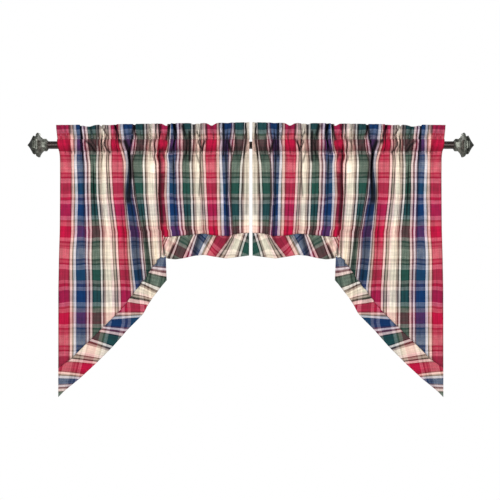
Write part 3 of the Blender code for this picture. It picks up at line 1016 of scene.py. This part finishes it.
def stripes(chart):
    """Ramp stops and the repeat's length in metres."""
    widths = np.array([width for _, width in chart], float)
    starts = running(widths)[:-1] / widths.sum()
    colours = [tuple(part**EYE_TO_MIX for part in YARNS[yarn]) for yarn, _ in chart]
    return list(zip(starts, colours)), widths.sum() * MM


for label, chart in (("warp", WARP), ("weft", WEFT)):
    print(label, "repeats every", round(stripes(chart)[1] / MM, 1), "mm with", len(chart), "stripes")

# %% [markdown]
# ## Cotton cloth
#
# Seen close, the cloth is a plain weave of slightly uneven cotton yarns: each crossing shows
# the warp or the weft in turn, slubs make a yarn lighter or darker along its length, and the
# surface is matt with a faint bloom of loose fibres. Noise drawn out along one axis makes the
# slubs. The bump has three sizes: the weave itself, the slubs and soft creases.

# %% Plaid finish
YARN_PITCH = 0.9
YARN_WANDER = 0.0012
YARN_WANDER_SCALE = 18.0
STREAKS = {
    # what: (changes a metre across, changes a metre down, its own start, detail)
    "warp slub": (520.0, 5.0, 0.0, 2.0),
    "weft slub": (5.0, 430.0, 4.0, 2.0),
    "warp streak": (170.0, 9.0, 7.0, 3.0),
    "weft streak": (9.0, 150.0, 9.0, 3.0),
}
SLUB_TONE = (0.10, 0.07, 0.08)
# How far a slub darkens its yarn: (noise where it starts, gain)
WARP_SLUB = (0.42, 0.75)
WEFT_SLUB = (0.40, 0.95)
WARP_STREAK = 0.75
WEFT_STREAK = 0.4
WEFT_SHARE = 0.235
WEAVE_SWING = 0.12
BLOTCH_SWING = 0.18
BLOTCH_SCALE = 60.0
# Painted shade: the colour that the fold shade mixes in, and how far at most
FOLD_DARK = (0.006, 0.004, 0.006)
FOLD_SHARE = 0.93
MIX_TO_LIGHT = 2.2 / EYE_TO_MIX
# Heights of the bump in metres
WEAVE_HEIGHT = 0.00009
WARP_SLUB_HEIGHT = 0.00022
WEFT_SLUB_HEIGHT = 0.00026
SOFT_CREASE_HEIGHT = 0.0011


def plaid_finish(name, face):
    """The woven cloth. On its `face`, shade is painted into the folds, gathers and creases, darker
    where little light gets in.
    """
    cloth = Finish(name)
    where = cloth.node("ShaderNodeUVMap", {"uv_map": UV_NAME})
    axes = cloth.node("ShaderNodeSeparateXYZ", None, {0: where})
    across, down = axes, Field(cloth, axes.socket.node.outputs[1])
    wander = cloth.noise(where, scale=YARN_WANDER_SCALE, detail=1.0) * YARN_WANDER
    wander = wander - 0.5 * YARN_WANDER
    across, down = across + wander, down + wander

    def streaked(kind):
        per_across, per_down, start, detail = STREAKS[kind]
        return cloth.noise(cloth.place(across * per_across, down * per_down, start), detail=detail)

    warp_stops, warp_repeat = stripes(WARP)
    weft_stops, weft_repeat = stripes(WEFT)
    from_red = (WEFT_TOP * MM - down) / weft_repeat
    warp = cloth.ramp((across / warp_repeat).wrapped(), warp_stops, "CONSTANT")
    weft = cloth.ramp(from_red.wrapped(), weft_stops, "CONSTANT")

    # Slubs: each yarn is a little lighter or darker, and more so along some lengths of it
    warp_slub, weft_slub = streaked("warp slub"), streaked("weft slub")
    warp = cloth.mix(warp, SLUB_TONE, (warp_slub - WARP_SLUB[0]) * WARP_SLUB[1])
    weft = cloth.mix(weft, SLUB_TONE, (weft_slub - WEFT_SLUB[0]) * WEFT_SLUB[1])

    # Streaks: where the cloth was pulled, runs of yarns stand out lighter or darker
    streak = (streaked("warp streak") - 0.5) * WARP_STREAK
    bright = streak + (streaked("weft streak") - 0.5) * WEFT_STREAK + 1.0

    # Weave: over and under, one yarn at a time
    turn = math.pi / (YARN_PITCH * MM)
    over = (across * turn).sine() * (down * turn).sine()
    blotch = cloth.noise(where, scale=BLOTCH_SCALE, detail=2.0)
    share = WEFT_SHARE + over * WEAVE_SWING + (blotch - 0.5) * BLOTCH_SWING
    seen = cloth.mix(warp, weft, share)
    seen = cloth.mix(seen, cloth.place(bright, bright, bright), 1.0, "MULTIPLY")
    # Painted shade: the face is darkened where the fold shade record says
    if face:
        shade = cloth.node("ShaderNodeAttribute", {"attribute_name": SHADE_NAME}, out=2)
        seen = cloth.mix(seen, FOLD_DARK, shade * FOLD_SHARE)
    light = cloth.node("ShaderNodeGamma", None, {0: seen, 1: MIX_TO_LIGHT})

    crease = cloth.noise(cloth.place(across * 1.0, down * 0.35), scale=36.0, detail=3.0)
    height = over * WEAVE_HEIGHT + warp_slub * WARP_SLUB_HEIGHT
    height = height + weft_slub * WEFT_SLUB_HEIGHT + crease * SOFT_CREASE_HEIGHT
    cloth.set(
        base_color=light,
        roughness=0.80 + (weft_slub - 0.5) * 0.22,
        normal=cloth.bump(height, 0.85),
        specular_ior_level=0.12,
        sheen_weight=0.06,
        sheen_roughness=0.45,
    )
    print(name, "has", len(cloth.tree.nodes), "nodes")
    return cloth.material


# The front copy carries the painted shade; the back copy has none
finishes = [plaid_finish("woven_plaid", True), plaid_finish("woven_plaid_back", False)]
for piece in [*bodies.values(), *slants.values(), *levels.values()]:
    for finish in finishes:
        piece.data.materials.append(finish)

# %% [markdown]
# ## Rod and finials
#
# The rod is a smooth painted tube, so its CAD shape stays and only gets a finish. The finials
# are castings with worn edges that catch the light: a profile spun in eight flat steps and
# then bevelled.

# %% Finial castings
ROD_HALF_LENGTH = 673.3
FINIAL_GAP = 0.3
FINIAL_SIDES = 8
WORN_EDGE = 0.7
WORN_ANGLE = 14.0
FINIAL_PROFILE = [
    # (out, reach)
    (0.0, 14.0), (4.5, 19.6), (6.0, 20.2), (12.0, 20.2), (13.2, 19.4), (16.0, 20.6), (20.5, 24.6),
    (24.5, 29.6), (27.5, 34.8), (29.2, 39.4), (34.0, 39.8), (38.2, 35.4), (38.9, 29.2),
    (43.4, 28.6), (45.0, 30.2), (48.2, 30.2), (53.2, 21.6), (59.6, 11.4), (65.6, 3.8),
    (68.8, 0.5),
]


def finial_casting(name, side):
    shape = bmesh.new()
    corner = 1.0 / math.cos(math.pi / FINIAL_SIDES)
    spots = [(out * MM, 0.0, reach * corner * MM) for out, reach in FINIAL_PROFILE]
    outline = [shape.verts.new(spot) for spot in spots]
    edges = [shape.edges.new(pair) for pair in zip(outline, outline[1:])]
    bmesh.ops.rotate(shape, verts=outline, matrix=Matrix.Rotation(math.pi / FINIAL_SIDES, 3, "X"))
    bmesh.ops.spin(
        shape,
        geom=outline + edges,
        axis=(1.0, 0.0, 0.0),
        cent=(0.0, 0.0, 0.0),
        angle=2.0 * math.pi,
        steps=FINIAL_SIDES,
        use_merge=True,
    )
    bmesh.ops.remove_doubles(shape, verts=shape.verts, dist=0.01 * MM)
    bmesh.ops.holes_fill(shape, edges=shape.edges, sides=FINIAL_SIDES)
    bmesh.ops.recalc_face_normals(shape, faces=shape.faces)
    if side < 0:
        bmesh.ops.rotate(shape, verts=shape.verts, matrix=Matrix.Rotation(math.pi, 3, "Z"))
    rod_end = side * (ROD_HALF_LENGTH + FINIAL_GAP) * MM
    bmesh.ops.translate(shape, verts=shape.verts, vec=(rod_end, 0, 0))
    mesh = bpy.data.meshes.new(name)
    shape.to_mesh(mesh)
    shape.free()
    mesh.shade_smooth()
    casting = link(name, mesh)
    soften = casting.modifiers.new("worn edges", "BEVEL")
    soften.width = WORN_EDGE * MM
    soften.segments = 2
    soften.limit_method = "ANGLE"
    soften.angle_limit = math.radians(WORN_ANGLE)
    soften.harden_normals = True
    print(name, len(mesh.polygons), "flats")
    return casting


castings = {hand: finial_casting(hand + "_finial_casting", side) for hand, side in SIDES.items()}

# %% [markdown]
# ### Pewter and bronze
#
# The castings are an aged pewter grey, dark with grime in patches, with a painted highlight
# at the neck that fades into painted shade towards both ends. The rod wears a smooth dark
# bronze gloss paint, so it is not metallic, and only a faint mottle shows in it.

# %% Metal finishes
# Painted highlight at the neck: its place, its lift, and how fast it turns to painted shade further
# out
NECK_HIGHLIGHT_AT = 692.0
NECK_HIGHLIGHT = 0.05
PAINTED_LIGHT_FADE = 7.0
PEWTER = [(0.34, (0.032, 0.035, 0.028)), (0.58, (0.25, 0.262, 0.225))]
BRONZE = [(0.35, (0.006, 0.005, 0.005)), (0.70, (0.016, 0.010, 0.009))]


def pewter_finish(name):
    metal = Finish(name)
    spot = metal.spot()
    grime = metal.noise(spot, scale=90.0, detail=4.0, roughness=0.6)
    grain = metal.noise(spot, scale=900.0, detail=3.0, roughness=0.65)
    along = metal.node("ShaderNodeSeparateXYZ", None, {0: spot}).size()
    # Painted highlight at the neck, fading into painted shade towards both ends
    painted_highlight_and_shade = NECK_HIGHLIGHT - (along - NECK_HIGHLIGHT_AT * MM).size() * PAINTED_LIGHT_FADE
    metal.set(
        base_color=metal.ramp(grime * 0.8 + grain * 0.2 + painted_highlight_and_shade, PEWTER),
        metallic=0.8,
        roughness=0.30 + grime * 0.30,
        normal=metal.bump(grain * 0.00012 + grime * 0.0004, 0.5),
    )
    return metal.material


def bronze_finish(name):
    paint = Finish(name)
    spot = paint.spot()
    mottle = paint.noise(spot, scale=60.0, detail=3.0)
    fleck = paint.noise(spot, scale=1400.0, detail=2.0)
    paint.set(
        base_color=paint.ramp(mottle * 0.6 + fleck * 0.4, BRONZE),
        metallic=0.0,
        roughness=0.10 + mottle * 0.08,
        normal=paint.bump(fleck * 0.00004, 0.3),
        specular_ior_level=0.55,
        specular_tint=(1.0, 0.80, 0.76),
    )
    return paint.material


pewter = pewter_finish("aged_pewter")
for casting in castings.values():
    casting.data.materials.append(pewter)
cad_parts["rod"].material_slots[0].material = bronze_finish("bronze_paint")
print("metal on", [casting.name for casting in castings.values()], "and the rod")

# %% [markdown]
# ## Joining the frame
#
# Each piece rides on the object's one body and stands in for its CAD node.

# %% Frame calls
for hand in SIDES:
    jobs = (
        (bodies[hand], "_swag", "_swag_plaid"),
        (slants[hand], "_slant_border", "_slant_plaid"),
        (levels[hand], "_level_border", "_level_plaid"),
    )
    for piece, node, slot in jobs:
        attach(piece, "root")
        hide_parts(hand + node)
    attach(castings[hand], "root")
    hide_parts(hand + "_finial")

print("sheets declared for", list(SIDES))

# %% [markdown]
# ## Camera, floor and light
#
# The panels are looked at straight on with a long lens. The light is soft and frontal, from
# both sides alike, so that the folds shade gently on either side, and the background is white.

# %% Camera and floor
CAMERA_PLACE = (-0.00266, -3.925, -0.3488)
FLOOR_RADIUS = 1.25
FLOOR_HEIGHT = -1.75

lens = bpy.data.cameras.new("camera")
lens.lens = 85.0
lens.sensor_width = 36.0
camera = link("camera", lens)
camera.location = CAMERA_PLACE
camera.rotation_euler = (0.5 * math.pi, 0.0, 0.0)
bpy.context.scene.camera = camera

bpy.ops.mesh.primitive_circle_add(
    vertices=96, radius=FLOOR_RADIUS, fill_type="NGON", location=(0, 0, FLOOR_HEIGHT)
)
floor = bpy.context.object
floor.name = "floor"
pale = Finish("pale_floor")
pale.set(base_color=(0.86, 0.86, 0.85), roughness=0.9)
floor.data.materials.append(pale.material)
print("camera", [round(value, 4) for value in camera.location])

# %% Lights and background
SOFT_LIGHTS = [
    # (name, place, target, size, power)
    ("left softbox", (-1.9, -2.1, 0.45), (-0.2, 0.0, -0.25), (0.8, 0.8), 40.0),
    ("right softbox", (1.9, -2.1, 0.45), (0.2, 0.0, -0.25), (0.8, 0.8), 40.0),
    ("left catch light", (-1.15, -2.6, 0.12), (-0.67, 0.0, 0.0), (0.5, 0.9), 7.0),
    ("right catch light", (1.15, -2.6, 0.12), (0.67, 0.0, 0.0), (0.5, 0.9), 7.0),
    ("top softbox", (0.0, -1.6, 1.9), (0.0, 0.0, -0.2), (2.2, 0.25), 14.0),
    ("back softbox", (0.0, 2.6, 1.4), (0.0, 0.0, -0.3), (2.0, 1.2), 45.0),
]
ROOM_GLOW = 0.34
BACKDROP_GLOW = 1.0

for name, place, target, size, power in SOFT_LIGHTS:
    lamp = bpy.data.lights.new(name, "AREA")
    lamp.shape = "RECTANGLE"
    lamp.size, lamp.size_y = size
    lamp.energy = power
    holder = link(name, lamp)
    holder.location = place
    holder.rotation_euler = (Vector(target) - Vector(place)).to_track_quat("-Z", "Y").to_euler()

world = bpy.data.worlds.new("studio")
bpy.context.scene.world = world
world.use_nodes = True
room = world.node_tree
seen_by_camera = room.nodes.new("ShaderNodeLightPath").outputs["Is Camera Ray"]
backdrop = room.nodes["Background"]
backdrop.inputs["Color"].default_value = (1.0, 1.0, 1.0, 1.0)
brightness = room.nodes.new("ShaderNodeMapRange")
room.links.new(seen_by_camera, brightness.inputs["Value"])
brightness.inputs["To Min"].default_value = ROOM_GLOW
brightness.inputs["To Max"].default_value = BACKDROP_GLOW
room.links.new(brightness.outputs["Result"], backdrop.inputs["Strength"])
bpy.context.scene.view_settings.view_transform = "Standard"
print(len(SOFT_LIGHTS), "soft lights")
